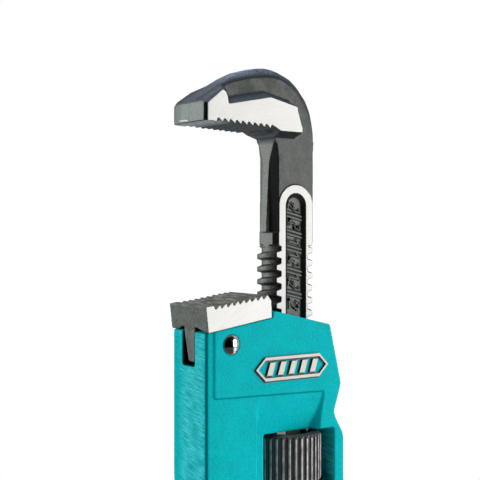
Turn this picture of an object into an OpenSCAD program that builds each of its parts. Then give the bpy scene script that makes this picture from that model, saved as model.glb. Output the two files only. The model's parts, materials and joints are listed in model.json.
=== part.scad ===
// Heavy-duty pipe wrench, 350 mm class. A cast handle and housing hold a replaceable heel
// jaw, and a knurled nut in the housing's window drives a sliding hook jaw.
//
// -X is towards the jaw tips, Y is the thickness, and Z runs up from the handle's end to the
// jaws. The origin is the centre of the hanging hole. The head is drawn in its own frame,
// on the axis of the hook jaw's shank, and in_head() puts it in place.

/* [Overall] */
// Height of the head's datum above the hanging hole
head_z = 276; // [250:1:300]
// Distance from the hanging hole back to the shank's axis
shank_x = 20; // [19:0.5:21]

/* [Hook jaw] */
// Thickness of the hook jaw across its ground pads
jaw_t = 22; // [20:0.5:23]
// Thickness of the forged web and of the shank above its thread
web_t = 12; // [10:0.5:12]
// Number of teeth cut in the hook jaw
hook_teeth = 10; // [6:1:10]
// Pitch of the teeth of both jaws
tooth_pitch = 2.65; // [2.4:0.05:2.7]
// Depth of the teeth of both jaws
tooth_depth = 1.5; // [1:0.05:1.6]

/* [Shank and thread] */
// Outer radius of the thread
thread_r = 10.65; // [10.4:0.05:10.65]
// Radius at the bottom of the thread
root_r = 8.9; // [8.7:0.05:9]
// Pitch of the thread, and the jaw's travel for each turn of the nut
pitch = 4.8; // [4.8:0.1:4.8]
// Thickness of the shank across its ground flats
shank_t = 12.5; // [12:0.1:12.5]
// Lowest point of the shank below the head's datum
shank_end = -103; // [-104:0.5:-103]
// Depth of the scale recess in each flat
scale_depth = 1.5; // [1:0.25:2]

/* [Nut] */
// Outer radius of the nut
nut_r = 14; // [13.5:0.1:14.2]
// Height of the nut
nut_h = 19.6; // [18:0.1:19.6]
// Number of flutes in the nut's rim
nut_flutes = 36; // [24:1:40]

/* [Heel jaw] */
// Thickness of the heel jaw
heel_t = 24.5; // [23:0.25:25]
// Number of teeth cut in the heel jaw
heel_teeth = 9; // [6:1:9]
// Radius of the pin that holds the heel jaw
pin_r = 3; // [2.5:0.1:3.2]

/* [Housing and handle] */
// Thickness of the housing across its raised side panels
housing_t = 23.6; // [23:0.1:24]
// Height that the side panels stand proud
panel_step = 0.6; // [0.3:0.1:0.8]
// Width of the slot for the heel jaw's tongue
slot_w = 8; // [7.6:0.1:8.4]
// Thickness of the handle across its flanges
handle_t = 18; // [16:0.5:19]
// Thickness of the handle's web
handle_web_t = 7; // [5:0.5:9]
// Half the width of the handle at its rounded end
handle_end_r = 13.1; // [12:0.1:14]
// Radius of the hanging hole
hang_r = 6; // [4:0.5:7]

/* [Hidden] */
$fn = 64;

// Room between parts that slide past each other, and round a pin that is driven in
slide_gap = 0.35;
pin_gap = 0.04;
// Overshoot of a cutting shape past the face that it cuts
over = 1;
bevel_over = 1.5;

// Teeth: the run of the steep flank and of the long flank, the height above the row that the
// notches clear, and where the rows start
steep_run = 0.45;
long_run = 2.05;
tooth_over = 0.2;
hook_tooth_x = -38.2;
heel_tooth_x = -41.9;
// Slope of each row of teeth along the jaw
hook_slope = -2.9;
heel_slope = 7.8;

// Thread: half widths of a groove at its mouth and its floor, the highest groove, the turns,
// and the heights where the thread, the collar above it and the neck above that begin
groove_mouth = 1.5;
groove_floor = 0.95;
first_groove = -7.74;
groove_count = 20;
lead_angle = atan(pitch / (PI * (thread_r + root_r)));
thread_top = -6.75;
collar_end = -6;
neck_end = -1.2;
shank_top = 34;

// Scale recess: its middle and the arc at its top, its mouth and floor, its lower end, and
// the ground rim round it
scale_x = 0.6;
scale_arc_z = 8.8;
scale_r = 4.9;
scale_floor_r = 3.1;
scale_end = -90;
rim_r = 7.95;
rim_end = -6.4;

// Window for the nut, and the nut's centre in it
window_top = -76;
window_end = -97.2;
nut_z = (window_top + window_end) / 2;
window_front = -16;
strap_in = 14.9;

// Nut thread: inner radius of the ridge, its root in the wall, and its turns
bore_r = thread_r + 0.3;
ridge_in = root_r + 0.4;
ridge_out = bore_r + 0.3;
ridge_turns = 3;
ridge_steps = 24;

// Heel jaw seat in the housing
seat_front = [-43.5, -36.85];
seat_rear = [-14.4, -32.6];
seat_slope = atan((seat_rear[1] - seat_front[1]) / (seat_rear[0] - seat_front[0]));
pin_at = [-32.85, -41.4];
tongue_y = -3.3;

// Spring pocket
spring_z = -62;
leaf_x = -11.45;
leaf_t = 0.8;
leaf_w = 9;
coil_r = 3.5;
coil_wire = 1.1;
coil_turns = 6;
pocket_x = -26.4;

function unit(v) = v / norm(v);

// Points of the arc that rounds corner b of the path a, b, c
function corner(a, b, c) =
    b[2] == 0 ? [[b[0], b[1]]] :
    let (
        at = [b[0], b[1]],
        u = unit([a[0], a[1]] - at),
        w = unit([c[0], c[1]] - at),
        half = acos(u * w) / 2,
        centre = at + unit(u + w) * b[2] / sin(half),
        from = at + u * b[2] / tan(half) - centre,
        start = atan2(from[1], from[0]),
        turn = (u[0] * w[1] - u[1] * w[0] > 0 ? -1 : 1) * (180 - 2 * half),
        steps = ceil(abs(turn) / 12)
    )
    [for (i = [0:steps]) centre + b[2] * [cos(start + turn * i / steps), sin(start + turn * i / steps)]];

// Closed outline through points [x, z, corner radius]
function rounded(p) =
    let (n = len(p))
    [for (i = [0:n - 1]) each corner(p[(i + n - 1) % n], p[i], p[(i + 1) % n])];

module in_head() translate([shank_x, 0, head_z]) children();

// Side outline drawn in X and Z, made thick along Y about the middle plane
module plate(thick)
    rotate([90, 0, 0]) translate([0, 0, -thick / 2]) linear_extrude(thick) children();

// The same plate, cut into each side face from a depth of inner outwards
module both_sides(inner, outer)
    for (s = [-1, 1]) translate([0, s * (inner + outer) / 2, 0]) plate(outer - inner) children();

// Row of notches that leaves sharp teeth, along the local X axis, cutting upwards
module tooth_notches(count) {
    spread = 1 + tooth_over / tooth_depth;
    for (i = [0:count - 1]) translate([i * tooth_pitch, 0])
        polygon([[-steep_run * spread, -tooth_over], [0, tooth_depth], [long_run * spread, -tooth_over]]);
}

// Cuts both side faces back along a clockwise path of [x, z] points. Each plane starts from
// the path on the face, and rises by rise over a depth in towards the middle.
module side_bevels(path, face, depth, rise)
    for (i = [0:len(path) - 2]) {
        run = path[i + 1] - path[i];
        translate([path[i][0], 0, path[i][1]]) rotate([0, -atan2(run[1], run[0]), 0])
            for (s = [0, 1]) mirror([0, s, 0]) rotate([90, 0, 90]) translate([0, 0, -bevel_over])
                linear_extrude(norm(run) + 2 * bevel_over)
                    polygon([[-face - 0.4 * depth, -0.4 * rise],
                             [-face + 1.4 * depth, 1.4 * rise],
                             [-face - 0.4 * depth, 1.4 * rise]]);
    }

// ---- hook jaw ----

module jaw_outline()
    polygon(rounded([
        [-43.7, 38.35, 0.5], [-43.7, 46.2, 2], [-24.5, 58.4, 25], [-10.5, 60.9, 16],
        [1.2, 56.6, 14], [9.7, 47.7, 8], [10, 37.5, 4], [9.1, 28, 0],
        [-7.4, 28, 0], [-7.4, 31.5, 0], [-8.9, 33, 0], [-9.6, 35.6, 1.6], [-13.4, 36.73, 0]]));

// Web of the hook, with its crown bevelled away on both sides
module jaw_web()
    difference() {
        plate(web_t) jaw_outline();
        side_bevels([
            [-33.6, 51.3], [-29.6, 53.1], [-25.2, 54.35], [-20.7, 55.45], [-16.1, 56.2],
            [-11.5, 56.6], [-6.8, 56.2], [-2.1, 54.2], [1.3, 51.4], [4.2, 47.8], [6.15, 43.7],
            [8.5, 34.5]], web_t / 2, 3, 3.5);
    }

// Nose, as thick as the pads, with a drafted face at its rear
module jaw_nose()
    difference() {
        plate(jaw_t) intersection() {
            jaw_outline();
            polygon([[-50, 30], [-50, 60], [-36.5, 60], [-31.3, 50.4], [-30.2, 48], [-30.2, 30]]);
        }
        side_bevels([[-43.2, 44.2], [-36.1, 49.9]], jaw_t / 2, 2.6, 2.4);
        side_bevels([[-36.1, 49.9], [-34.7, 49.1], [-33.9, 47.4], [-33.4, 44]], jaw_t / 2, 5, 3.5);
        for (s = [0, 1]) mirror([0, s, 0]) translate([0, 0, 30]) linear_extrude(30)
            polygon([[-44.7, -9.26], [-41.5, -11.79], [-44.7, -11.79]]);
    }

// Thick band behind the teeth, whose upper and lower sides are drafted back to the web
module jaw_pad()
    difference() {
        plate(jaw_t) polygon(rounded([
            [-40, 38.15, 0], [-40, 46.1, 0], [-13.8, 51.1, 0.6], [-2.6, 48.4, 0.8],
            [-1.8, 43.9, 0.8], [0.3, 37.8, 0.8], [0.1, 34.3, 0], [-9.6, 34.3, 0],
            [-10.4, 36.3, 0], [-13.4, 37.9, 0], [-13.9, 36.76, 0]]));
        side_bevels([[-41, 43.46], [-14.8, 48.6], [-3.2, 46]], jaw_t / 2, 5, 2.4);
        side_bevels([[0, 36.2], [-10, 36.3]], jaw_t / 2, 5, 1.9);
    }

// Section of the shank from its middle to its front, chamfered from the flats to the nose
module front_section(nose_x, nose_y, flat_x, half_t)
    polygon([[nose_x, -nose_y], [flat_x, -half_t], [0, -half_t],
             [0, half_t], [flat_x, half_t], [nose_x, nose_y]]);

// Shank above the thread: a rib that deepens down its front, a crowned back, and a collar
module shank_neck()
    difference() {
        union() {
            translate([0, 0, collar_end]) linear_extrude(shank_top - collar_end) {
                front_section(-8.9, 2.3, -7.4, web_t / 2);
                mirror([1, 0]) front_section(-9.5, 3, -9.1, web_t / 2);
            }
            plate(4) polygon([[-8.5, 27], [-8.95, 26.5], [-10.3, neck_end], [-8.5, neck_end]]);
            translate([0, 0, collar_end]) linear_extrude(neck_end - collar_end)
                front_section(-8.85, 3.9, -7.5, shank_t / 2);
            // The front squares up where it meets the hook
            hull() {
                translate([0, 0, 27]) linear_extrude(0.1) front_section(-8.9, 2.3, -7.4, web_t / 2);
                translate([0, 0, shank_top]) linear_extrude(0.1)
                    front_section(-8.9, 5.2, -8.3, web_t / 2);
            }
        }
        translate([root_r, -shank_t, -9]) cube([over, 2 * shank_t, 4]);
    }

module shank_thread()
    difference() {
        intersection() {
            union() {
                translate([0, 0, shank_end + 1.2]) cylinder(r = thread_r, h = thread_top - shank_end - 1.2);
                translate([0, 0, shank_end]) cylinder(r1 = thread_r - 1.2, r2 = thread_r, h = 1.2);
                translate([0, 0, thread_top - over])
                    cylinder(r = root_r, h = over + collar_end - thread_top + 0.5);
            }
            translate([-2 * thread_r, -shank_t / 2, shank_end])
                cube([4 * thread_r, shank_t, -shank_end]);
        }
        for (k = [0:groove_count - 1]) {
            shank_groove(180, first_groove - k * pitch);
            shank_groove(0, first_groove + pitch / 2 - k * pitch);
        }
    }

// One turn of the groove, on the front (180) or back (0) of the shank, set at the lead angle
module shank_groove(facing, z)
    translate([0, 0, z]) rotate([facing == 0 ? lead_angle : -lead_angle, 0, 0])
        rotate_extrude(angle = 120, start = facing - 60)
            polygon([[root_r, -groove_floor], [thread_r + 0.5, -groove_mouth - 0.16],
                     [thread_r + 0.5, groove_mouth + 0.16], [root_r, groove_floor]]);

// Ground rim round the scale
module scale_rim() {
    translate([scale_x, scale_arc_z]) circle(r = rim_r);
    translate([scale_x - rim_r, rim_end]) square([2 * rim_r, scale_arc_z - rim_end]);
}

// Recess for the scale in each flat, with sloping walls and round ends
module scale_recess() {
    mouth_r = scale_r + (scale_r - scale_floor_r) / scale_depth * over / 2;
    mouth_y = -(shank_t + over) / 2;
    floor_y = scale_depth - shank_t / 2;
    for (s = [0, 1]) mirror([0, s, 0]) {
        translate([scale_x, 0, scale_end]) linear_extrude(scale_arc_z - scale_end)
            polygon([[-mouth_r, mouth_y], [mouth_r, mouth_y],
                     [scale_floor_r, floor_y], [-scale_floor_r, floor_y]]);
        for (z = [scale_arc_z, scale_end]) translate([scale_x, mouth_y, z]) rotate([-90, 0, 0])
            cylinder(r1 = mouth_r, r2 = scale_floor_r, h = floor_y - mouth_y);
    }
}

module hook_jaw() color([0.24, 0.25, 0.24]) in_head()
    difference() {
        union() {
            jaw_web();
            jaw_nose();
            jaw_pad();
            shank_neck();
            shank_thread();
            plate(shank_t) scale_rim();
        }
        scale_recess();
        translate([hook_tooth_x, 0, 38.07]) rotate([0, -hook_slope, 0])
            plate(jaw_t + over) tooth_notches(hook_teeth);
    }

// ---- adjusting nut ----

// Cross-sections of the ridge inside the nut: a trapezoid that follows the shank's groove
function ridge_section(a) =
    let (z = first_groove + pitch / 2 + pitch * a / 360)
    [for (q = [[ridge_in, -0.71], [ridge_out, -1.33], [ridge_out, 1.33], [ridge_in, 0.71]])
        [q[0] * cos(a), q[0] * sin(a), z + q[1]]];

module nut_ridge() {
    first = 180 * round(2 * (nut_z - first_groove - pitch / 2) / pitch - ridge_turns);
    count = ridge_turns * ridge_steps;
    points = [for (i = [0:count]) each ridge_section(first + i * 360 / ridge_steps)];
    polyhedron(points, concat(
        [[3, 2, 1, 0], [for (j = [0:3]) 4 * count + j]],
        [for (i = [0:count - 1], j = [0:3])
            [4 * i + (j + 1) % 4, 4 * i + 4 + (j + 1) % 4, 4 * i + 4 + j, 4 * i + j]]));
}

// Rim of the nut with straight flutes
module nut_rim() {
    step = 360 / nut_flutes;
    linear_extrude(nut_h, center = true) polygon([
        for (i = [0:nut_flutes - 1], q = [[-0.3, 0.75], [-0.16, 0], [0.16, 0], [0.3, 0.75]])
            (nut_r - q[1]) * [cos((i + q[0]) * step), sin((i + q[0]) * step)]]);
}

module adjusting_nut() color([0.3, 0.31, 0.31]) in_head() {
    translate([0, 0, nut_z]) difference() {
        intersection() {
            nut_rim();
            rotate_extrude() polygon([
                [0, -nut_h / 2], [nut_r - 1.6, -nut_h / 2], [nut_r + 0.1, -nut_h / 2 + 1.7],
                [nut_r + 0.1, nut_h / 2 - 1.7], [nut_r - 1.6, nut_h / 2], [0, nut_h / 2]]);
        }
        cylinder(r = bore_r, h = nut_h + 2 * over, center = true);
    }
    nut_ridge();
}

// ---- heel jaw and its pin ----

module heel_block()
    polygon(rounded([
        [-43.1, -36.75, 0.5], [-44.2, -27.45, 0.3], [-17.5, -23.8, 0.8], [-15.5, -26.2, 1],
        [-15.2, -32.55, 0.4]]));

module heel_tongue()
    intersection() {
        plate(heel_t) polygon([[-43.1, -47.8], [-43.1, -33], [-16.4, -30], [-16.4, -45]]);
        rotate([90, 0, 90]) translate([0, 0, -50]) linear_extrude(50)
            polygon([[tongue_y, -30], [tongue_y, -47.2], [tongue_y + 0.6, -47.8],
                     [tongue_y + 3.6, -47.8], [tongue_y + 4.2, -47.2], [tongue_y + 7, -37],
                     [tongue_y + 7, -30]]);
    }

// Hollows under the block beside the tongue, so that it bears on its outer feet
module heel_hollows()
    translate([-50, 0, -37.9]) rotate([0, -seat_slope, 0]) rotate([90, 0, 90]) linear_extrude(40) {
        polygon([[-10.2, -1], [-10.2, 0.4], [tongue_y - 1.2, 1.7], [tongue_y + 1, 1.3],
                 [tongue_y + 1, -1]]);
        polygon([[tongue_y + 6, -1], [tongue_y + 6, 1.3], [tongue_y + 8.2, 1.7],
                 [tongue_y + 11, 0.3], [tongue_y + 11, -1]]);
    }

module heel_jaw() color([0.55, 0.56, 0.54]) in_head()
    difference() {
        union() {
            difference() {
                plate(heel_t) heel_block();
                heel_hollows();
            }
            heel_tongue();
        }
        translate([heel_tooth_x + 1.6, 0, -27.1]) rotate([0, 180 - heel_slope, 0])
            plate(heel_t + over) mirror([1, 0]) tooth_notches(heel_teeth);
        translate([pin_at[0], 0, pin_at[1]]) rotate([90, 0, 0])
            cylinder(r = pin_r + pin_gap, h = heel_t, center = true);
    }

module heel_jaw_pin() color([0.85, 0.86, 0.87]) in_head()
    translate([pin_at[0], 0, pin_at[1]]) rotate([90, 0, 0]) {
        cylinder(r = pin_r, h = housing_t + 0.2, center = true);
        for (s = [0, 180]) rotate([s, 0, 0]) translate([0, 0, housing_t / 2 + 0.05])
            intersection() {
                translate([0, 0, -3.6]) sphere(r = 5.05);
                cylinder(r = 3.55, h = 3);
            }
    }

// ---- housing and handle ----

module housing_outline()
    polygon(rounded([
        [seat_front[0], seat_front[1], 0.6], [seat_rear[0], seat_rear[1], 0.2],
        [-14.4, -30.8, 0.4], [-13.2, -30.25, 0.3], [12.9, -36.4, 1.2], [18.4, -59.4, 4],
        [14.7, -70.5, 5], [19.6, -79, 6], [19.6, -103, 5], [12, -114, 8], [-12.5, -120, 5],
        [-12.7, -130, 4], [-37.3, -130, 4], [-38.4, -108, 20], [-43.5, -92, 12]]));

module housing_panel()
    polygon(rounded([
        [-40, -36.34, 0], [seat_rear[0], seat_rear[1], 0], [-14.4, -30.8, 0.4], [-13.2, -30.25, 0.3],
        [12.9, -36.4, 1.2], [18.4, -59.4, 4], [14.7, -70.5, 5], [19.6, -79, 6],
        [19.6, -100, 5], [8, -104, 0], [8, -73, 0], [10.1, -61.45, 0], [-40, -60.05, 0.6]]));

module handle_outline() {
    polygon([[-38.2, -105], [-shank_x - handle_end_r, -head_z], [-shank_x + handle_end_r, -head_z],
             [-12.6, -160], [-12.6, -105]]);
    translate([-shank_x, -head_z]) circle(r = handle_end_r);
}

module handle_recess()
    polygon(rounded([
        [-32, -126, 5], [-28.2, 22 - head_z, 5.5], [-11.8, 22 - head_z, 5.5], [-17.6, -160, 40],
        [-18, -126, 5]]));

// Raised emblem of plain slanted bars in a frame, on each side of the housing
module emblem() {
    bars = 5;
    difference() {
        emblem_frame(17, 4.4);
        emblem_frame(15.9, 3.3);
    }
    for (i = [0:bars - 1]) translate([(i - (bars - 1) / 2) * 5, 0])
        polygon([[-2.1, -2.4], [0.5, -2.4], [2.1, 2.4], [-0.5, 2.4]]);
}

module emblem_frame(half_w, half_h)
    polygon([[-half_w, 0], [-half_w + half_h, half_h], [half_w - half_h, half_h],
             [half_w, 0], [half_w - half_h, -half_h], [-half_w + half_h, -half_h]]);

// Passage for the shank, with room at its front for the jaw to rock
module shank_passage(front, back, top, end)
    translate([front, -shank_t / 2 - slide_gap, end])
        cube([back - front, shank_t + 2 * slide_gap, top - end]);

// Scoops that let a thumb and finger reach the nut, with a sloping wall beside the rear strap
module thumb_scoops()
    for (s = [0, 1]) mirror([0, s, 0]) intersection() {
        translate([-21, 0, 0]) rotate([90, 0, 90]) linear_extrude(40) polygon([
            [-housing_t / 2 + 0.4, -62.5], [-10.2, -69.5], [-8.2, -76], [-8.2, -97], [-9.2, -101],
            [-housing_t / 2 - 0.2, -107], [-housing_t, -107], [-housing_t, -62.5]]);
        translate([8.8, 0, -69.6]) rotate([0, 9.8, 0]) translate([0, 0, -45]) linear_extrude(60)
            polygon([[-40, -housing_t], [10.76, -housing_t], [-4.4, -7], [-40, -7]]);
    }

module spring_pocket() {
    shank_passage(-14.2, 0, -51.5, -73);
    translate([pocket_x, 0, spring_z]) rotate([0, 90, 0]) cylinder(r = coil_r + 1.2, h = -pocket_x - 10);
}

module handle_housing() color([0.0, 0.69, 0.73])
    difference() {
        in_head() difference() {
            union() {
                intersection() {
                    union() {
                        plate(housing_t - 2 * panel_step) housing_outline();
                        plate(housing_t) housing_panel();
                    }
                    // Bevels down the front corners
                    translate([0, 0, -140]) linear_extrude(140) polygon([
                        [-43.5, -housing_t / 2 + 1.3], [-41.5, -housing_t / 2], [30, -housing_t / 2],
                        [30, housing_t / 2], [-41.5, housing_t / 2], [-43.5, housing_t / 2 - 1.3]]);
                }
                plate(handle_t) handle_outline();
                translate([-5.7, 0, -51.3]) plate(housing_t + 1.6) emblem();
            }
            both_sides(handle_web_t / 2, handle_t) handle_recess();
            shank_passage(-12.15, 10.95, -20, window_top - over);
            shank_passage(-11.3, 12.1, window_end + over, -130);
            translate([window_front, -housing_t, window_end])
                cube([strap_in - window_front, 2 * housing_t, window_top - window_end]);
            thumb_scoops();
            spring_pocket();
            // Slot for the heel jaw's tongue, open at the front
            translate([-50, 0.4 - slot_w / 2, -49.3]) cube([50 - 16.2, slot_w, 40]);
            translate([pin_at[0], 0, pin_at[1]]) rotate([90, 0, 0])
                cylinder(r = pin_r + pin_gap, h = 2 * housing_t, center = true);
        }
        rotate([90, 0, 0]) cylinder(r = hang_r, h = 2 * handle_t, center = true);
    }

// ---- springs behind the shank's front ----

module flat_spring() color([0.45, 0.47, 0.5]) in_head()
    difference() {
        plate(leaf_w) polygon(rounded([
            [leaf_x + leaf_t / 2, spring_z + 6, 3], [leaf_x - 1.0, spring_z + 9.5, 0],
            [leaf_x - 1.8, spring_z + 9.3, 0], [leaf_x - leaf_t / 2, spring_z + 5.8, 3],
            [leaf_x - leaf_t / 2, spring_z - 5.8, 3], [leaf_x - 1.8, spring_z - 9.3, 0],
            [leaf_x - 1.0, spring_z - 9.5, 0], [leaf_x + leaf_t / 2, spring_z - 6, 3]]));
        translate([leaf_x + leaf_t / 2, 0, spring_z]) rotate([0, -90, 0])
            rivet_shape(pin_gap, leaf_t + over);
    }

// Countersunk rivet standing on its head: gap is the room left round it
module rivet_shape(gap, length) {
    cylinder(r1 = 2.1 + gap, r2 = 1.3 + gap, h = leaf_t);
    translate([0, 0, -gap]) cylinder(r = 1.3 + gap, h = length + gap);
}

module spring_rivet() color([0.6, 0.6, 0.58]) in_head()
    translate([leaf_x + leaf_t / 2, 0, spring_z]) rotate([0, -90, 0]) {
        rivet_shape(0, 3.4);
        translate([0, 0, leaf_t + pin_gap]) cylinder(r = 2.1, h = 1.3);
    }

// Wire of the coil spring: rings of points swept along a helix
module coil_spring() color([0.4, 0.42, 0.45]) in_head() {
    x0 = leaf_x - leaf_t / 2 - coil_wire / 2 - 0.1;
    length = x0 - pocket_x - coil_wire / 2 - 0.6;
    steps = coil_turns * 16;
    sides = 8;
    points = [for (i = [0:steps], j = [0:sides - 1])
        let (a = i * 360 / 16, b = j * 360 / sides, r = coil_r + coil_wire / 2 * cos(b))
        [x0 - length * i / steps + coil_wire / 2 * sin(b), r * cos(a), spring_z + r * sin(a)]];
    polyhedron(points, concat(
        [[for (j = [sides - 1:-1:0]) j], [for (j = [0:sides - 1]) steps * sides + j]],
        [for (i = [0:steps - 1], j = [0:sides - 1])
            [sides * i + (j + 1) % sides, sides * (i + 1) + (j + 1) % sides,
             sides * (i + 1) + j, sides * i + j]]));
}

handle_housing();
hook_jaw();
adjusting_nut();
heel_jaw();
heel_jaw_pin();
flat_spring();
coil_spring();
spring_rivet();
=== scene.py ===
"""Looks of the pipe wrench: refined skins round the CAD nodes, their materials, light and camera.

Lengths are in metres. Places on the head are written in millimetres in the head's own frame,
whose origin is on the shank's axis: X to the back of the wrench, Z up, Y across it.
"""
import json
import math

import bmesh
import bpy
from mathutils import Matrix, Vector


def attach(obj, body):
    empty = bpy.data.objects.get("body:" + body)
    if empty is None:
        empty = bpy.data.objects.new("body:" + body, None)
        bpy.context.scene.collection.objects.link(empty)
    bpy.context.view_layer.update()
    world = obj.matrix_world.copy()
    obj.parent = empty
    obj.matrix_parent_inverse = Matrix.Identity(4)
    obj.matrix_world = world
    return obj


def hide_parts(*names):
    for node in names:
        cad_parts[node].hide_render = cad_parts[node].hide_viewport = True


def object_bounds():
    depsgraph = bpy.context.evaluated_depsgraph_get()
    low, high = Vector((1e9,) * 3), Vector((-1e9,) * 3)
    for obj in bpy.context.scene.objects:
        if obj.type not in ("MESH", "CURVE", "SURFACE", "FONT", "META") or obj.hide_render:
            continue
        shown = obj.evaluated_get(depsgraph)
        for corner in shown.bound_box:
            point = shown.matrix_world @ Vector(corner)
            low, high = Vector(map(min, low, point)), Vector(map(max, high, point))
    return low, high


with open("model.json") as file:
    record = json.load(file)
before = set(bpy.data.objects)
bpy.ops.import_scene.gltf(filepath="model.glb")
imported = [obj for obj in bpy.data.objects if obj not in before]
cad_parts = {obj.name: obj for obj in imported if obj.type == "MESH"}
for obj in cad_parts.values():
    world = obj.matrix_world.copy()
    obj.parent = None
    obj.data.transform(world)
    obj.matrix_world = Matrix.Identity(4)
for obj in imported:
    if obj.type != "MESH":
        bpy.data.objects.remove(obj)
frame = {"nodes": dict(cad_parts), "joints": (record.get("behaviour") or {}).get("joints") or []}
CAD_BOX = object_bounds()

MM = 0.001
NUT_BELOW_DATUM = 86.6
JOINTS = {j["name"]: j for j in frame["joints"]}
NUT_CENTRE = Vector(JOINTS["nut_spin"]["pos_m"])
HEAD = Vector((NUT_CENTRE.x, 0, NUT_CENTRE.z + NUT_BELOW_DATUM * MM))

# Half widths across the head: the housing's panels and the step under them, the hook's pads, the
# heel jaw, the shank's ground flats and the floor of the scale's recess
HOUSING_HALF = 11.8
HOUSING_LOW_HALF = 11.2
HOOK_HALF = 11.0
HEEL_HALF = 12.25
FLAT_HALF = 6.25
SCALE_FLOOR = 4.75

# Places on the head: the nose's flat end, the top of the ground rims and of the thread, the
# scale's middle and its arc, the emblem's middle, and the pin
NOSE_X = -43.3
RIM_TOP = 17.25
THREAD_TOP = -6.45
SCALE_X = 0.6
SCALE_ARC_Z = 8.8
EMBLEM_AT = (-5.7, -51.3)
PIN_AT = (-32.85, -41.4)
NUT_CREST_R = 13.85


def head_point(x, y, z):
    """A place on the head, from millimetres in the head's frame to metres in the row's."""
    return HEAD + Vector((x, y, z)) * MM


def in_head(co):
    """A vertex's place in millimetres in the head's frame."""
    return (co - HEAD) / MM


# ---------------------------------------------------------------- materials


class Material:
    """A small builder for node materials: add() makes a node and links or sets its inputs."""

    def __init__(self, name):
        self.data = bpy.data.materials.new(name)
        self.data.use_nodes = True
        self.tree = self.data.node_tree
        self.shader = self.tree.nodes["Principled BSDF"]
        self.place = self.add("ShaderNodeTexCoord").outputs["Object"]

    def add(self, kind, inputs=None, **settings):
        node = self.tree.nodes.new(kind)
        for key, value in settings.items():
            setattr(node, key, value)
        for key, value in (inputs or {}).items():
            self.put(node.inputs[key], value)
        return node

    def put(self, socket, value):
        if isinstance(value, bpy.types.NodeSocket):
            self.tree.links.new(value, socket)
        else:
            socket.default_value = value

    def math(self, operation, a, b=0.0, clamp=False):
        node = self.add("ShaderNodeMath", {0: a, 1: b}, operation=operation)
        node.use_clamp = clamp
        return node.outputs[0]

    def noise(self, size_mm, detail=3.0, stretch=None, turn=None):
        """Noise with features about size_mm across, 0 to 1, stretched along the turned axes."""
        place = self.place
        if turn:
            place = self.add("ShaderNodeMapping", {"Vector": place, "Rotation": turn},
                             vector_type="POINT").outputs[0]
        if stretch:
            place = self.add("ShaderNodeMapping", {"Vector": place, "Scale": stretch}).outputs[0]
        return self.add("ShaderNodeTexNoise", {
            "Vector": place, "Scale": 1 / (size_mm * MM), "Detail": detail, "Roughness": 0.55,
        }).outputs["Fac"]

    def ramp(self, value, low, high, from_value=0.0, to_value=1.0):
        """Maps low..high to from_value..to_value, held at both ends."""
        return self.add("ShaderNodeMapRange", {
            "Value": value, "From Min": low, "From Max": high,
            "To Min": from_value, "To Max": to_value}).outputs["Result"]

    def above(self, value, at, soft):
        """A mask for where the value is above a limit, with an edge as wide as soft."""
        return self.ramp(value, at - soft / 2, at + soft / 2)

    def below(self, value, at, soft):
        return self.ramp(value, at + soft / 2, at - soft / 2)

    def absolute(self, value):
        return self.math("ABSOLUTE", value)

    def gap(self, value, at):
        """How far the value is from a place, to either side."""
        return self.absolute(self.math("SUBTRACT", value, at))

    def total(self, *terms):
        """The sum of several masks, each times its weight."""
        out = self.math("MULTIPLY", *terms[0])
        for value, weight in terms[1:]:
            out = self.math("ADD", out, self.math("MULTIPLY", value, weight))
        return out

    def blend(self, share, a, b):
        node = self.add("ShaderNodeMix", data_type="RGBA")
        self.put(node.inputs["Factor"], share)
        self.put(node.inputs["A"], a)
        self.put(node.inputs["B"], b)
        return node.outputs["Result"]

    def axis(self, name, vector=None):
        split = self.add("ShaderNodeSeparateXYZ", {0: vector or self.place})
        return split.outputs[name]

    def head_axis(self, name):
        """One coordinate in millimetres in the head's frame."""
        return self.math("DIVIDE", self.math("SUBTRACT", self.axis(name), HEAD["XYZ".index(name)]), MM)

    def normal(self, name):
        return self.axis(name, self.add("ShaderNodeNewGeometry").outputs["Normal"])

    def both(self, *shares):
        """The product of several masks."""
        out = shares[0]
        for share in shares[1:]:
            out = self.math("MULTIPLY", out, share)
        return out

    def reach(self, x, z):
        """Distance in millimetres from a line across the head through (x, z)."""
        across = self.math("POWER", self.math("SUBTRACT", self.head_axis("X"), x), 2.0)
        along = self.math("POWER", self.math("SUBTRACT", self.head_axis("Z"), z), 2.0)
        return self.math("SQRT", self.math("ADD", across, along))

    def bump(self, height, distance_mm, strength):
        return self.add("ShaderNodeBump", {
            "Height": height, "Distance": distance_mm * MM, "Strength": strength}).outputs[0]

    def finish(self, color, roughness, metallic=0.0, normal=None, **fixed):
        self.put(self.shader.inputs["Base Color"], color)
        self.put(self.shader.inputs["Roughness"], roughness)
        self.put(self.shader.inputs["Metallic"], metallic)
        if normal:
            self.put(self.shader.inputs["Normal"], normal)
        for key, value in fixed.items():
            self.shader.inputs[key.replace("_", " ")].default_value = value
        return self.data


TEAL = (0.0, 0.395, 0.435, 1)
TEAL_LIGHT = (0.0, 0.545, 0.595, 1)
TEAL_SPECK = (0.0, 0.25, 0.28, 1)
TEAL_STROKE = (0.0, 0.27, 0.30, 1)
# Painted shade on the teal paint
TEAL_SHADE = (0.0, 0.10, 0.12, 1)
TEAL_PALE = (0.06, 0.68, 0.74, 1)
FORGED = (0.046, 0.051, 0.046, 1)
FORGED_LIGHT = (0.078, 0.084, 0.076, 1)
# Painted light on the forging's front faces
FORGED_FRONT_LIT = (0.125, 0.138, 0.125, 1)
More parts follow.
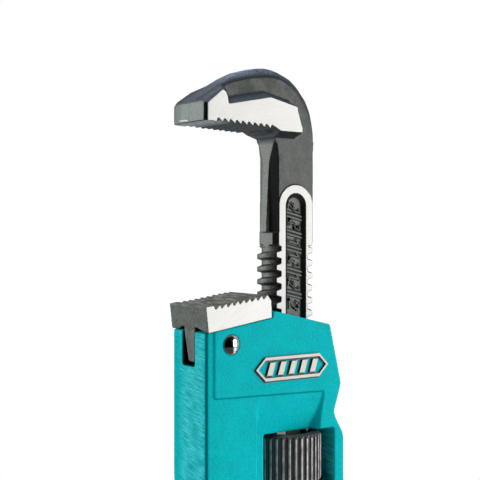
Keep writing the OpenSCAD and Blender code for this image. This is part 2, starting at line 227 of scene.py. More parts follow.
# Painted light and shade over the crown; the darkest is also painted shade on the nose's top edge
CROWN_LIT_BLUE = (0.036, 0.050, 0.078, 1)
CROWN_HIGHLIGHT = (0.165, 0.22, 0.32, 1)
BLUE_SHADE = (0.012, 0.017, 0.024, 1)
BARE = (0.60, 0.595, 0.57, 1)
BARE_DARK = (0.46, 0.455, 0.43, 1)
BARE_CAST = (0.58, 0.545, 0.49, 1)
WEB = (0.024, 0.032, 0.029, 1)
WEB_LIGHT = (0.062, 0.067, 0.058, 1)
# Painted light and shade on the nose's end
NOSE_LIT = (0.135, 0.166, 0.152, 1)
NOSE_SHADE = (0.088, 0.115, 0.108, 1)
NOSE_CORNER_SHADE = (0.03, 0.045, 0.045, 1)
NOSE_FACET_LIT = (0.11, 0.145, 0.165, 1)
# Painted light and shade under the hook
UNDER_HOOK_LIT = (0.30, 0.36, 0.40, 1)
UNDER_HOOK_SHADE = (0.024, 0.034, 0.040, 1)
SOOT = (0.010, 0.012, 0.012, 1)
FLECK = (0.3, 0.32, 0.33, 1)
# Painted light on the floor of the scale's recess
RECESS_FLOOR_LIT = (0.11, 0.118, 0.105, 1)
FIGURE = (0.10, 0.108, 0.096, 1)
HEEL_GREY = (0.022, 0.030, 0.027, 1)
HEEL_GREY_LIGHT = (0.092, 0.105, 0.094, 1)
# Paler tone on the heel's upward faces
HEEL_TOP_PALE = (0.46, 0.43, 0.38, 1)
SHADOW = (0.006, 0.007, 0.007, 1)
NUT_BLACK = (0.05, 0.052, 0.055, 1)
NUT_BLACK_LIGHT = (0.085, 0.085, 0.085, 1)
NUT_WORN = (0.42, 0.42, 0.41, 1)
# Painted shadow on the emblem's sides and foot
EMBLEM_SHADOW = (0.0, 0.02, 0.022, 1)
CHROME = (0.8, 0.82, 0.84, 1)
CHROME_LIGHT = (0.9, 0.91, 0.92, 1)
# Painted dark reflection on the chrome
CHROME_DARK_REFLECTION = (0.04, 0.045, 0.045, 1)
SPRING_BLUE = (0.12, 0.14, 0.19, 1)
SPRING_LIGHT = (0.28, 0.3, 0.34, 1)
FLOOR = (0.86, 0.86, 0.86, 1)
FLOOR_LIGHT = (0.9, 0.9, 0.9, 1)


def ground_colour(m, turn):
    """Bright ground steel: near white, with fine grinding lines that run at an angle."""
    lines = m.noise(0.45, 4, stretch=(0.06, 1, 1), turn=(0, turn, 0))
    patches = m.noise(6, 2)
    shade = m.math("MULTIPLY", m.ramp(lines, 0.3, 0.52, 0.5, 1), m.ramp(patches, 0.2, 0.7, 0.8, 1))
    return m.blend(shade, BARE_DARK, BARE), lines


def paint_material():
    """Teal enamel on a sand casting, with the front strip milled before it was painted."""
    m = Material("teal_enamel")
    x, y, z = m.head_axis("X"), m.head_axis("Y"), m.head_axis("Z")
    side, facing = m.absolute(y), m.normal("X")
    cast, swell, fine = m.noise(0.9, 5), m.noise(7, 2), m.noise(0.35, 2)
    shade = m.math("ADD", m.ramp(cast, 0.3, 0.7, 0, 0.6), m.ramp(swell, 0.3, 0.7, 0, 0.4))
    colour = m.blend(shade, TEAL, TEAL_LIGHT)
    colour = m.blend(m.ramp(fine, 0.35, 0.5, 0.16, 0), colour, TEAL_SPECK)
    # Milling marks slant across the front strip, which is palest down its middle
    milled = m.noise(0.5, 3, stretch=(1, 0.08, 1), turn=(-0.16, 0, 0))
    patch = m.noise(5, 2)
    front = m.both(m.below(facing, -0.94, 0.08), m.above(z, -108, 20))
    worn = m.both(m.ramp(patch, 0.35, 0.6, 0.35, 1), front, m.below(y, 5.5, 4))
    streak = m.both(m.ramp(milled, 0.44, 0.56), worn)
    colour = m.blend(m.math("MULTIPLY", m.math("ADD", worn, streak), 0.48), colour, TEAL_PALE)
    colour = m.blend(m.both(m.ramp(milled, 0.46, 0.38), front, 0.6), colour, TEAL_STROKE)
    # Painted shade down the bevel of each front corner, and painted shadow on the step under the side panels
    # and in a ring round the pin
    corner = m.both(m.below(facing, -0.36, 0.12), m.above(facing, -0.74, 0.12), m.below(x, -41, 0.4))
    step = m.both(m.below(m.normal("Z"), -0.35, 0.3), m.above(side, HOUSING_LOW_HALF - 0.025, 0.15),
                  m.above(z, -63.5, 1))
    pin_shadow = m.below(m.reach(*PIN_AT), 3.85, 0.5)
    dark = m.math("MAXIMUM", m.math("MULTIPLY", corner, 0.72), m.math("MULTIPLY", step, 0.6))
    dark = m.math("MAXIMUM", dark, m.math("MULTIPLY", pin_shadow, 0.75))
    colour = m.blend(dark, colour, TEAL_SHADE)
    # The slot for the tongue was left bare of paint; its inside is painted near black as shadow
    slot = m.both(m.below(m.gap(y, 0.4), 4.1, 0.1), m.above(x, -43.25, 0.3), m.above(z, -49.45, 0.3))
    colour = m.blend(slot, colour, SHADOW)
    height = m.total((cast, 0.75), (fine, 0.25), (streak, 0.7))
    rough = m.math("ADD", m.ramp(swell, 0.3, 0.7, 0.42, 0.52), m.math("MULTIPLY", front, 0.35))
    return m.finish(colour, rough, normal=m.bump(height, 0.24, 0.9), Specular_IOR_Level=0.03)


def forged_colour(m, grain, cloud, fine):
    """Colour of the black oxide forging, before any of it was ground, with painted light and shade on it."""
    x, y, z = m.head_axis("X"), m.head_axis("Y"), m.head_axis("Z")
    side, flatness, facing = m.absolute(y), m.absolute(m.normal("Y")), m.normal("X")
    forged = m.blend(m.ramp(cloud, 0.3, 0.7), FORGED, FORGED_LIGHT)
    # Painted light: the front faces of the neck and of the thread are painted paler, as lit from the front
    forged = m.blend(m.both(m.below(facing, -0.865, 0.13), m.below(z, 32.5, 1)), forged, FORGED_FRONT_LIT)
    # Painted light over the crown's upward faces: bluish as lit from above, with painted shade beside the web
    # and a painted highlight up to its ridge
    up = m.both(m.above(m.normal("Z"), 0.31, 0.38), m.above(z, 38, 8), m.below(flatness, 0.935, 0.07))
    pale = m.both(m.below(side, 4.5, 2.2), m.ramp(x, -16, 2, 1, 0.3), m.ramp(x, -34, -26, 0.3, 1),
                  m.ramp(cloud, 0.25, 0.6, 0.5, 1.1))
    edge = m.both(m.above(side, 5.05, 0.9), m.below(side, 6.2, 0.2))
    crown_light = m.blend(m.ramp(x, -10, 4, 0, 0.7), m.blend(pale, CROWN_LIT_BLUE, CROWN_HIGHLIGHT), BLUE_SHADE)
    crown_light = m.blend(edge, crown_light, BLUE_SHADE)
    forged = m.blend(up, forged, crown_light)
    web = m.both(m.above(flatness, 0.955, 0.05), m.below(side, 6.8, 0.4), m.above(z, 38, 8))
    forged = m.blend(web, forged, m.blend(m.ramp(cloud, 0.38, 0.56), WEB, WEB_LIGHT))
    # The nose's end was struck flat, with a parting line. It is painted paler as lit from the front, with
    # painted shade over its far half, its far corner and its top edge, a band along its foot painted bluish
    # grey as a facet there catches the light, and a painted highlight over that band
    front = m.both(m.below(facing, -0.9, 0.1), m.below(x, NOSE_X, 0.2))
    nose = m.blend(m.above(y, 5.1, 1), NOSE_LIT, NOSE_SHADE)
    nose = m.blend(m.ramp(m.gap(y, -0.4), 0.35, 0.1, 0, 0.6), nose, FORGED)
    nose = m.blend(m.ramp(y, 7.5, 10, 0, 0.7), nose, NOSE_CORNER_SHADE)
    nose = m.blend(m.above(z, 45.3, 0.6), nose, BLUE_SHADE)
    forged = m.blend(front, forged, nose)
    foot = m.math("SUBTRACT", z, m.math("ADD", 38.75, m.math("MULTIPLY", y, 0.06)))
    forged = m.blend(m.both(front, m.below(foot, 0, 0.2)), forged, NOSE_FACET_LIT)
    glint = m.both(front, m.below(m.gap(foot, 0.35), 0.225, 0.15), m.above(y, 0.75, 0.9),
                   m.below(y, 6.2, 1.2))
    forged = m.blend(m.math("MULTIPLY", glint, 0.8), forged, BARE)
    # Painted shade under the hook, between the teeth and the neck, turning to painted light towards the nose
    under = m.both(m.above(z, 33.45, 0.3), m.below(z, 38.65, 0.5), m.below(flatness, 0.825, 0.15),
                   m.above(x, -43.25, 0.3))
    forged = m.blend(under, forged, m.blend(m.above(x, -34.5, 7), UNDER_HOOK_LIT, UNDER_HOOK_SHADE))
    forged = m.blend(m.ramp(grain, 0.38, 0.54, 0.55, 0), forged, SOOT)
    return m.blend(m.ramp(fine, 0.55, 0.68, 0, 0.22), forged, FLECK)


def hook_material():
    """Black oxide forging with bright ground pads, rims and thread ends, and painted light and shade: bluish
    on what faces up.
    """
    m = Material("black_oxide_forging")
    x, y, z = m.head_axis("X"), m.head_axis("Y"), m.head_axis("Z")
    side, flatness, facing = m.absolute(y), m.absolute(m.normal("Y")), m.normal("X")
    grain, cloud, fine = m.noise(0.8, 4), m.noise(6, 3), m.noise(0.3, 3)
    forged = forged_colour(m, grain, cloud, fine)
    ground, lines = ground_colour(m, 0.2)
    pad = m.above(side, HOOK_HALF - 0.105, 0.05)
    rim = m.both(m.above(side, FLAT_HALF - 0.1, 0.04), m.below(side, FLAT_HALF + 0.25, 0.1),
                 m.below(z, RIM_TOP, 0.1))
    bright = m.both(m.math("ADD", pad, rim, clamp=True), m.above(flatness, 0.95, 0.04))
    # The ground flats run out over the shank's back edges
    back_edge = m.both(m.above(facing, 0.225, 0.15), m.above(side, FLAT_HALF - 0.95, 0.3),
                       m.below(z, RIM_TOP, 0.1), m.above(x, 7, 1))
    bright = m.math("MAXIMUM", bright, m.math("MULTIPLY", back_edge, 0.85))
    # Painted light on the floor of the scale's recess, painted shade on its walls, and a painted shadow line
    # round the top of its rim
    recess = m.both(m.below(z, 14.1, 0.2), m.below(m.gap(x, SCALE_X), 5.1, 0.2))
    floor = m.both(recess, m.below(side, SCALE_FLOOR + 0.2, 0.1))
    forged = m.blend(m.math("MULTIPLY", floor, 0.55), forged, RECESS_FLOOR_LIT)
    wall = m.both(recess, m.below(flatness, 0.84, 0.08), m.above(side, 4.55, 0.1))
    ring = m.reach(SCALE_X, SCALE_ARC_Z)
    ring = m.both(m.above(ring, 7.95, 0.1), m.below(ring, 8.45, 0.3), m.below(x, 3, 4), m.above(z, 9, 2),
                  m.above(side, 5.85, 0.1))
    forged = m.blend(m.math("MAXIMUM", wall, m.math("MULTIPLY", ring, 0.85)), forged, SHADOW)
    # Painted shade: the near edges of the neck, the near faces of the thread's roots and the nose's near edge
    # are painted black
    chamfer_shade = m.both(m.below(facing, -0.77, 0.1), m.above(facing, -0.9675, 0.035), m.above(x, -10.75, 0.5),
                     m.below(z, 33.5, 1), m.above(z, THREAD_TOP, 0.3), m.below(y, 0, 1))
    root_shade = m.both(m.below(m.normal("Y"), -0.61, 0.22), m.below(flatness, 0.85, 0.1),
                  m.below(z, THREAD_TOP, 0.3), m.below(x, -0.5, 1))
    nose_edge_shade = m.both(m.below(facing, -0.425, 0.15), m.above(facing, -0.85, 0.1), m.below(y, -0.5, 1),
                       m.below(x, -41.3, 0.6), m.below(m.normal("Z"), 0.25, 0.1))
    black = m.math("MAXIMUM", m.math("MAXIMUM", chamfer_shade, root_shade), nose_edge_shade)
    colour = m.blend(black, m.blend(bright, forged, ground), SHADOW)
    rough = m.blend(bright, m.ramp(grain, 0.3, 0.7, 0.42, 0.6), m.ramp(lines, 0.3, 0.7, 0.36, 0.5))
    cast_part = m.both(m.total((grain, 0.7), (fine, 0.3)), m.math("SUBTRACT", 1.0, bright),
                       m.ramp(grain, 0.3, 0.7, 0.8, 1.15))
    height = m.math("ADD", cast_part, m.both(lines, bright, 0.12))
    return m.finish(colour, rough, m.ramp(bright, 0, 1, 0.6, 0.2), m.bump(height, 0.09, 0.9))


def heel_material():
    """Grey granular hardened steel with bright ground side faces."""
    m = Material("hardened_heel")
    side = m.absolute(m.head_axis("Y"))
    grain, cloud, fine = m.noise(0.55, 5), m.noise(3.5, 3), m.noise(0.25, 2)
    grey = m.blend(m.ramp(grain, 0.35, 0.65), HEEL_GREY, HEEL_GREY_LIGHT)
    across = m.noise(0.3, 3, stretch=(1, 0.05, 1))
    # Faces that look up are paler, in streaks
    top = m.above(m.normal("Z"), 0.35, 0.3)
    grey = m.blend(m.math("MULTIPLY", top, m.ramp(across, 0.45, 0.65, 0, 0.55)), grey, HEEL_TOP_PALE)
    ground, lines = ground_colour(m, 0.5)
    bright = m.both(m.above(side, HEEL_HALF - 0.105, 0.05), m.above(m.absolute(m.normal("Y")), 0.93, 0.06))
    colour = m.blend(bright, grey, ground)
    rough = m.blend(bright, m.ramp(cloud, 0.3, 0.7, 0.5, 0.65), m.ramp(lines, 0.3, 0.7, 0.28, 0.42))
    height = m.math("MULTIPLY", m.total((grain, 1), (fine, 0.5)), m.math("SUBTRACT", 1.0, bright))
    height = m.math("ADD", height, m.both(lines, 0.3, bright))
    return m.finish(colour, rough, m.ramp(bright, 0, 1, 0.5, 0.2), m.bump(height, 0.08, 0.8))


def nut_material():
    """Black oxide, worn to bare steel on the crests of the flutes."""
    m = Material("worn_black_nut")
    grain, cloud = m.noise(0.5, 4), m.noise(3, 3)
    across, along = m.axis("X"), m.axis("Y")
    reach = m.math("SQRT", m.math("ADD",
                                  m.math("POWER", m.math("SUBTRACT", across, NUT_CENTRE.x), 2.0),
                                  m.math("POWER", along, 2.0)))
    crest = m.above(reach, NUT_CREST_R * MM, 0.2 * MM)
    worn = m.math("MULTIPLY", crest, m.ramp(cloud, 0.35, 0.6, 0.35, 1))
    dark = m.blend(m.ramp(grain, 0.3, 0.7), NUT_BLACK, NUT_BLACK_LIGHT)
    colour = m.blend(worn, dark, NUT_WORN)
    rough = m.ramp(grain, 0.3, 0.7, 0.34, 0.5)
    return m.finish(colour, rough, 0.75, m.bump(grain, 0.04, 0.7))


def scale_material():
    """Raised figures of the forging, black down their sides and on the wider foot under each, as painted
    shadow.
    """
    m = Material("raised_scale_figures")
    grain = m.noise(0.5, 4)
    top = m.both(m.above(m.absolute(m.normal("Y")), 0.85, 0.2),
                 m.above(m.absolute(m.head_axis("Y")), SCALE_FLOOR + 0.275, 0.05))
    colour = m.blend(top, SHADOW, FIGURE)
    return m.finish(colour, m.ramp(grain, 0.3, 0.7, 0.45, 0.6), 0.5, m.bump(grain, 0.04, 0.7))


def bare_cast_material():
    """Raised cast marks whose tops were ground bare of paint, with their sides and the foot under them
    painted black as shadow.
    """
    m = Material("bare_cast_marks")
    lines, patches = m.noise(0.6, 4, stretch=(0.2, 1, 1), turn=(0, 0.3, 0)), m.noise(2, 3)
    bare = m.blend(m.both(m.ramp(lines, 0.3, 0.6), m.ramp(patches, 0.25, 0.6, 0.6, 1)), BARE_DARK, BARE_CAST)
    front = m.both(m.above(m.absolute(m.normal("Y")), 0.75, 0.3),
                   m.above(m.absolute(m.head_axis("Y")), HOUSING_HALF + 0.45, 0.1))
    colour = m.blend(front, EMBLEM_SHADOW, bare)
    return m.finish(colour, m.ramp(lines, 0.3, 0.7, 0.4, 0.55), m.math("MULTIPLY", front, 0.2),
                    m.bump(lines, 0.03, 0.6))


def chrome_material():
    """Polished chrome, with a painted dark reflection in a ring round each end's rim and where it curves to
    the front.
    """
    m = Material("polished_chrome")
    smear = m.noise(1.5, 2)
    colour = m.blend(smear, CHROME, CHROME_LIGHT)
    ring = m.above(m.reach(*PIN_AT), 3.2, 0.2)
    aside = m.total((m.normal("X"), 0.82), (m.absolute(m.normal("Y")), 0.57))
    dark_reflection = m.math("MAXIMUM", ring, m.below(aside, 0.56, 0.12))
    colour = m.blend(dark_reflection, colour, CHROME_DARK_REFLECTION)
    return m.finish(colour, m.ramp(smear, 0.3, 0.7, 0.04, 0.09), 1.0, m.bump(m.noise(0.4), 0.004, 0.4))


def spring_material():
    m = Material("blued_spring_steel")
    grain = m.noise(0.4, 3, stretch=(1, 0.2, 1))
    colour = m.blend(grain, SPRING_BLUE, SPRING_LIGHT)
    return m.finish(colour, m.ramp(grain, 0.3, 0.7, 0.3, 0.45), 0.9, m.bump(grain, 0.02, 0.6))


# ---------------------------------------------------------------- meshes


def new_piece(name, mesh, material, body):
    piece = bpy.data.objects.new(name, mesh)
    bpy.context.collection.objects.link(piece)
    mesh.materials.clear()
    mesh.materials.append(material)
    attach(piece, body)
    return piece


def applied(piece):
    """Bakes the piece's modifiers into a new mesh and drops the piece."""
    bpy.context.view_layer.update()
    graph = bpy.context.evaluated_depsgraph_get()
    mesh = bpy.data.meshes.new_from_object(piece.evaluated_get(graph))
    bpy.data.objects.remove(piece)
    return mesh


def with_modifiers(mesh, *steps, weights=None):
    """The mesh after modifiers, each given as (type, settings). weights(co) limits the smoothing."""
    piece = bpy.data.objects.new("work", mesh)
    bpy.context.collection.objects.link(piece)
    if weights:
        group = piece.vertex_groups.new(name="soft")
        for v in mesh.vertices:
            share = weights(v)
            if share > 0:
                group.add([v.index], share, "REPLACE")
    for kind, settings in steps:
        modifier = piece.modifiers.new(kind, kind)
        for key, value in settings.items():
            setattr(modifier, key, value)
    return applied(piece)


def closed_copy(node):
    """The node's mesh with its split vertices joined again."""
    mesh = frame["nodes"][node].data.copy()
    work = bmesh.new()
    work.from_mesh(mesh)
    bmesh.ops.remove_doubles(work, verts=work.verts, dist=0.002 * MM)
    work.to_mesh(mesh)
    work.free()
    return mesh


def skin(mesh, voxel_mm, rounds):
    """An even quad skin over the mesh, with its edges slightly rounded."""
    return with_modifiers(
        mesh,
        ("REMESH", {"mode": "VOXEL", "voxel_size": voxel_mm * MM}),
        ("SMOOTH", {"iterations": rounds, "factor": 0.5}))


def shade_smooth(mesh):
    for face in mesh.polygons:
        face.use_smooth = True
    return mesh


def thinned(mesh, share):
    return shade_smooth(with_modifiers(mesh, ("DECIMATE", {"ratio": share})))


def joined(meshes):
    work = bmesh.new()
    for mesh in meshes:
        work.from_mesh(mesh)
    out = bpy.data.meshes.new("joined")
    work.to_mesh(out)
    work.free()
    return out


# ---------------------------------------------------------------- the pieces


def hook_weight(v):
    """How freely a point of the hook's skin is smoothed: not the ground faces, teeth or thread."""
    p = in_head(v.co)
    if p.x > 4 and p.z > 24:
        # Up the shank's back, into the crown
        return min(1.0, (p.z - 24) / 14)
    on_teeth = p.z < 40.2 and p.x < -12.5
    if p.z < 36 or abs(p.y) > HOOK_HALF - 0.9 or on_teeth:
        return 0.0
    return min(1.0, (p.z - 36) / 3)


def fill_out_back(mesh):
    """Starts the bevel round the crown's back fuller than the node's, so it runs into the shank."""
    low, high, most = 33, 51, 1.1
    for v in mesh.vertices:
        p = in_head(v.co)
        if p.x > 4 and low < p.z < high:
            fuller = most * math.sin(math.pi * (p.z - low) / (high - low)) * min(1, (p.x - 4) / 4)
            v.co.x += fuller * min(1, abs(p.y) / 5.5) ** 2 * MM


def make_hook(material):
    mesh = skin(closed_copy("hook_jaw"), 0.24, 2)
    fill_out_back(mesh)
    mesh = with_modifiers(mesh, ("SMOOTH", {"iterations": 24, "factor": 0.5, "vertex_group": "soft"}),
                          weights=hook_weight)
    piece = new_piece("hook_jaw_skin", thinned(mesh, 0.3), material, "jaw")
    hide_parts("hook_jaw")


def make_housing(material):
    mesh = skin(closed_copy("handle_housing"), 0.42, 3)
    for v in mesh.vertices:
        # The emblem is a piece of its own here, so the node's is pressed flat
        if abs(v.co.y) > HOUSING_HALF * MM:
            v.co.y = math.copysign(HOUSING_HALF * MM, v.co.y)
    piece = new_piece("handle_housing_skin", thinned(mesh, 0.3), material, "handle")
    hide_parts("handle_housing")


def make_heel(material):
    mesh = skin(closed_copy("heel_jaw"), 0.2, 1)
    piece = new_piece("heel_jaw_skin", thinned(mesh, 0.35), material, "handle")
    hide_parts("heel_jaw")


def make_nut(material):
    mesh = skin(closed_copy("adjusting_nut"), 0.22, 3)
    piece = new_piece("adjusting_nut_skin", thinned(mesh, 0.4), material, "nut")
    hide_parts("adjusting_nut")


def emblem_outline(half_w, half_h, x, z):
    """A long hexagon round (x, z)."""
    corners = [(-half_w, 0), (-half_w + half_h, half_h), (half_w - half_h, half_h),
               (half_w, 0), (half_w - half_h, -half_h), (-half_w + half_h, -half_h)]
    return [(corner_x + x, corner_z + z) for corner_x, corner_z in corners]


def slanted_bar(grow, x, z):
    """One bar of the emblem, grown by a margin on every side."""
    low, high = z - 2.4 - grow, z + 2.4 + grow
    return [(x - 2.1 - grow, low), (x + 0.5 + grow, low), (x + 2.1 + grow, high), (x - 0.5 - grow, high)]


def ring_plate(outer, inner, y_inner, y_outer, bevel_mm):
    """A flat frame between two outlines of as many points, with bevelled outer edges."""
    work = bmesh.new()
    near = [[work.verts.new(head_point(x, y_inner, z)) for x, z in line] for line in (outer, inner)]
    faces = []
    for i in range(len(outer)):
        k = (i + 1) % len(outer)
        faces.append(work.faces.new((near[0][i], near[0][k], near[1][k], near[1][i])))
    return lifted(work, faces, y_outer, bevel_mm)


def lifted(work, faces, y_outer, bevel_mm):
    """Extrudes flat faces to y_outer and bevels the rim of the lifted side."""
    top = bmesh.ops.extrude_face_region(work, geom=faces)
    for v in top["geom"]:
        if isinstance(v, bmesh.types.BMVert):
            v.co.y = y_outer * MM
    bmesh.ops.recalc_face_normals(work, faces=work.faces)
    rim = [e for e in work.edges
           if all(abs(v.co.y - y_outer * MM) < 1e-6 for v in e.verts)
           and len(e.link_faces) == 2 and e.calc_face_angle(0) > 0.5]
    bmesh.ops.bevel(work, geom=rim, offset=bevel_mm * MM, segments=2, affect="EDGES", profile=0.5)
    mesh = bpy.data.meshes.new("plate")
    work.to_mesh(mesh)
    work.free()
    return mesh


def extruded(outline, y_inner, y_outer, bevel_mm):
    """A plate with a closed (x, z) outline in the head's frame, its outer edges bevelled."""
    work = bmesh.new()
    face = work.faces.new([work.verts.new(head_point(x, y_inner, z)) for x, z in outline])
    return lifted(work, [face], y_outer, bevel_mm)


def make_emblem(material):
    """A plain frame with slanted bars on each side of the housing, on a wider, offset black foot that is a
    painted shadow.
    """
    parts = []
    for side in (-1, 1):
        inner = side * (HOUSING_HALF - 0.4)
        for grow, shift, lift, bevel in ((0.35, -0.25, 0.16, 0.05), (0, 0, 0.78, 0.12)):
            outer = side * (HOUSING_HALF + lift)
            x, z = EMBLEM_AT[0] - side * shift, EMBLEM_AT[1] + shift
            outside = emblem_outline(17 + grow, 4.4 + grow, x, z)
            inside = emblem_outline(15.8 - grow, 3.2 - grow, x, z)
            parts.append(ring_plate(outside, inside, inner, outer, bevel))
            for i in range(5):
                parts.append(extruded(slanted_bar(grow, (i - 2) * 5 + x, z), inner, outer, bevel))
    new_piece("housing_emblem", joined(parts), material, "handle")


# The figures' strokes, in heights of the figure from its lower left corner
STROKES = {
    "1": ((0.12, 0.78), (0.38, 1), (0.38, 0)),
    "2": ((0.05, 0.75), (0.18, 0.95), (0.42, 1), (0.58, 0.82), (0.5, 0.55), (0.02, 0), (0.62, 0)),
    "3": ((0.05, 0.9), (0.3, 1), (0.56, 0.84), (0.5, 0.6), (0.26, 0.52), (0.58, 0.36), (0.5, 0.08),
          (0.02, 0.06)),
    "4": ((0.42, 0), (0.42, 1), (0, 0.32), (0.62, 0.32)),
}


def figure(text, height, across, z):
    """The centre line of a slanted figure whose right runs down the shank."""
    return [(across + (v - 0.5) * height, z - (u - 0.3) * height - (v - 0.5) * height * 0.25)
            for u, v in STROKES[text]]


def stroke(start, end, half):
    """Corners of a straight stroke that runs half its width past both ends."""
    start, end = Vector(start), Vector(end)
    along = (end - start).normalized() * half
    aside = Vector((-along.y, along.x))
    return [start - along - aside, end + along - aside, end + along + aside, start - along + aside]


def scale_marks():
    """Every mark in the recess as its centre line and its half width."""
    marks = []
    for z, upper, lower in ((7.65, "1", "2"), (1.4, "3", "4"), (-13.2, "1", "4"), (-21.9, "1", "2")):
        marks += [(figure(upper, 2.7, 1.55, z - 1.1), 0.18), (figure(lower, 2.7, -1.5, z + 1.1), 0.18)]
    for z, text in ((-4.9, "1"), (-9.9, "1"), (-18.3, "1"), (-29.0, "2")):
        marks.append((figure(text, 4.6, 0, z), 0.24))
    for z in (4.8, -1.9, -7.8, -16.3, -25.0):
        marks += [([(-3.3, z + 0.8 + step), (4.3, z - 1.0 + step)], 0.27) for step in (-0.7, 0.7)]
    return marks


def make_scale(material):
    """Pipe sizes in the recess on both flats, each kept apart by a pair of slanted lines."""
    parts = []
    for side in (-1, 1):
        floor = side * (SCALE_FLOOR - 0.1)
        # Each mark stands on a black foot, a painted shadow, that is wider and lies a little up the shank
        for wider, lift, shift in ((0.5, 0.2, 0.28), (0, 0.42, 0)):
            top = side * (SCALE_FLOOR + lift)
            for line, half in scale_marks():
                for start, end in zip(line, line[1:]):
                    corners = stroke(start, end, half + wider)
                    outline = [(SCALE_X - side * (x - shift), z + shift) for x, z in corners]
                    parts.append(extruded(outline, floor, top, 0.04))
    new_piece("jaw_scale", joined(parts), material, "jaw")


def turned(profile, x, z, steps):
    """A body turned about the line across the head through (x, z), from (radius, y) pairs."""
    work = bmesh.new()
    rings = []
    for radius, y in profile:
        turns = [i * math.tau / steps for i in range(steps)] if radius else [0]
        rings.append([
            work.verts.new(head_point(x + radius * math.sin(turn), y, z + radius * math.cos(turn)))
            for turn in turns])
    for ring, below in zip(rings, rings[1:]):
        for i in range(steps):
            # An end of the profile is one vertex, so its faces are triangles
            k = i + 1
            corners = [ring[i % len(ring)], below[i % len(below)],
                       below[k % len(below)], ring[k % len(ring)]]
            work.faces.new(list(dict.fromkeys(corners)))
    mesh = bpy.data.meshes.new("turned")
    work.to_mesh(mesh)
    work.free()
    return mesh


def make_pin(material):
    """A pin with domed ends, each in a thin turned shoulder."""
    profile = [(0, 13.28), (0.9, 13.2), (1.8, 12.92), (2.6, 12.5), (3.2, 11.98), (3.42, 11.9),
               (3.5, 12.05), (3.54, 11.95), (3.5, 11.82), (3.0, 11.7), (3.0, 0)]
    profile += [(r, -y) for r, y in reversed(profile[:-1])]
    mesh = shade_smooth(turned(profile, *PIN_AT, steps=72))
    piece = new_piece("heel_jaw_pin_turned", mesh, material, "handle")
    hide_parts("heel_jaw_pin")


def make_camera():
    """Level with the datum, 400 mm off and 35 degrees round towards the jaw tips."""
    away, aside = 0.400, 0.0172
    turn = math.radians(-35)
    ahead = Vector((-math.sin(turn), math.cos(turn), 0))
    right = Vector((math.cos(turn), math.sin(turn), 0))
    data = bpy.data.cameras.new("camera")
    data.sensor_width = 36
    data.lens = 78
    data.shift_y = -0.0229
    data.clip_start = 0.01
    camera = bpy.data.objects.new("camera", data)
    bpy.context.collection.objects.link(camera)
    camera.location = HEAD - ahead * away - right * aside
    camera.rotation_euler = (math.pi / 2, 0, turn)
    bpy.context.scene.camera = camera


def area_light(name, place, aim, size, power):
    data = bpy.data.lights.new(name, "AREA")
    data.shape = "RECTANGLE"
    data.size, data.size_y = size
    data.energy = power
    light = bpy.data.objects.new(name, data)
    bpy.context.collection.objects.link(light)
    light.location = place
    light.rotation_euler = (Vector(aim) - Vector(place)).to_track_quat("-Z", "Y").to_euler()


def world_ramp(tree, value, low, high, from_value, to_value):
    """Maps a value of the world's node tree from low..high, held at both ends."""
    node = tree.nodes.new("ShaderNodeMapRange")
    for key, setting in (("From Min", low), ("From Max", high), ("To Min", from_value), ("To Max", to_value)):
        node.inputs[key].default_value = setting
    tree.links.new(value, node.inputs["Value"])
    return node.outputs["Result"]


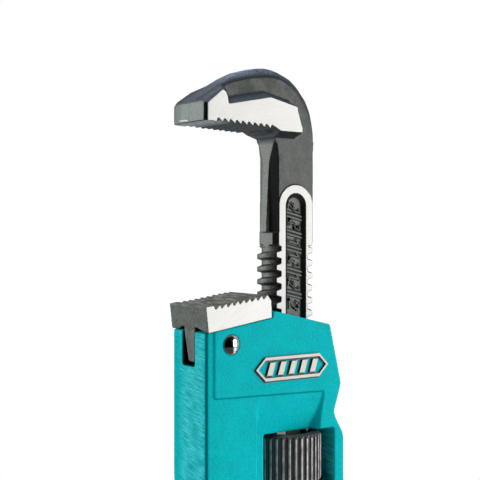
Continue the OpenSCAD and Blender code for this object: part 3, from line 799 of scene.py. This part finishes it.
def make_world():
    """White behind the wrench, while a darker studio lights it: darkest in front and below."""
    world = bpy.data.worlds.new("studio")
    world.use_nodes = True
    tree = world.node_tree
    nodes, links = tree.nodes, tree.links
    seen = nodes["Background"]
    seen.inputs["Color"].default_value = (1, 1, 1, 1)
    seen.inputs["Strength"].default_value = 1.0
    place = nodes.new("ShaderNodeTexCoord").outputs["Generated"]
    ahead = nodes.new("ShaderNodeVectorMath")
    ahead.operation = "DOT_PRODUCT"
    ahead.inputs[1].default_value = (-0.574, -0.819, 0)
    links.new(place, ahead.inputs[0])
    rise = nodes.new("ShaderNodeSeparateXYZ")
    links.new(place, rise.inputs[0])
    level = nodes.new("ShaderNodeMath")
    level.operation = "MULTIPLY"
    links.new(world_ramp(tree, ahead.outputs["Value"], 0.2, 0.75, 0.34, 0.03), level.inputs[0])
    links.new(world_ramp(tree, rise.outputs["Z"], -0.7, 0.0, 0.25, 1.0), level.inputs[1])
    fill = nodes.new("ShaderNodeBackground")
    fill.inputs["Color"].default_value = (1, 1, 1, 1)
    links.new(level.outputs[0], fill.inputs["Strength"])
    path = nodes.new("ShaderNodeLightPath")
    mix = nodes.new("ShaderNodeMixShader")
    links.new(path.outputs["Is Camera Ray"], mix.inputs[0])
    links.new(fill.outputs[0], mix.inputs[1])
    links.new(seen.outputs[0], mix.inputs[2])
    links.new(mix.outputs[0], nodes["World Output"].inputs[0])
    bpy.context.scene.world = world


def make_light():
    """Two tall softboxes, beside and behind the wrench, and one above it."""
    middle = HEAD + Vector((0, 0, -0.03))
    area_light("right", middle + Vector((0.68, -0.70, 0.12)), middle, (0.8, 0.9), 10)
    area_light("left", middle + Vector((-0.58, 0.72, 0.14)), middle, (0.5, 0.9), 6.5)
    area_light("top", middle + Vector((-0.15, 0.1, 0.9)), middle, (0.7, 0.7), 6)


def make_floor():
    """A pale round floor half a millimetre under the wrench."""
    m = Material("pale_floor")
    colour = m.blend(m.noise(4, 3), FLOOR, FLOOR_LIGHT)
    m.finish(colour, 0.7)
    work = bmesh.new()
    bmesh.ops.create_circle(work, cap_ends=True, segments=96, radius=0.6)
    mesh = bpy.data.meshes.new("floor")
    work.to_mesh(mesh)
    work.free()
    mesh.materials.append(m.data)
    floor = bpy.data.objects.new("floor", mesh)
    bpy.context.collection.objects.link(floor)
    floor.location = (0, 0, CAD_BOX[0].z - 0.0005)


make_hook(hook_material())
make_housing(paint_material())
make_heel(heel_material())
make_nut(nut_material())
spring = spring_material()
for node in ("flat_spring", "coil_spring", "spring_rivet"):
    frame["nodes"][node].data.materials.clear()
    frame["nodes"][node].data.materials.append(spring)
make_pin(chrome_material())
make_emblem(bare_cast_material())
make_scale(scale_material())

make_floor()
make_world()
make_light()
make_camera()
bpy.context.scene.view_settings.view_transform = "Standard"
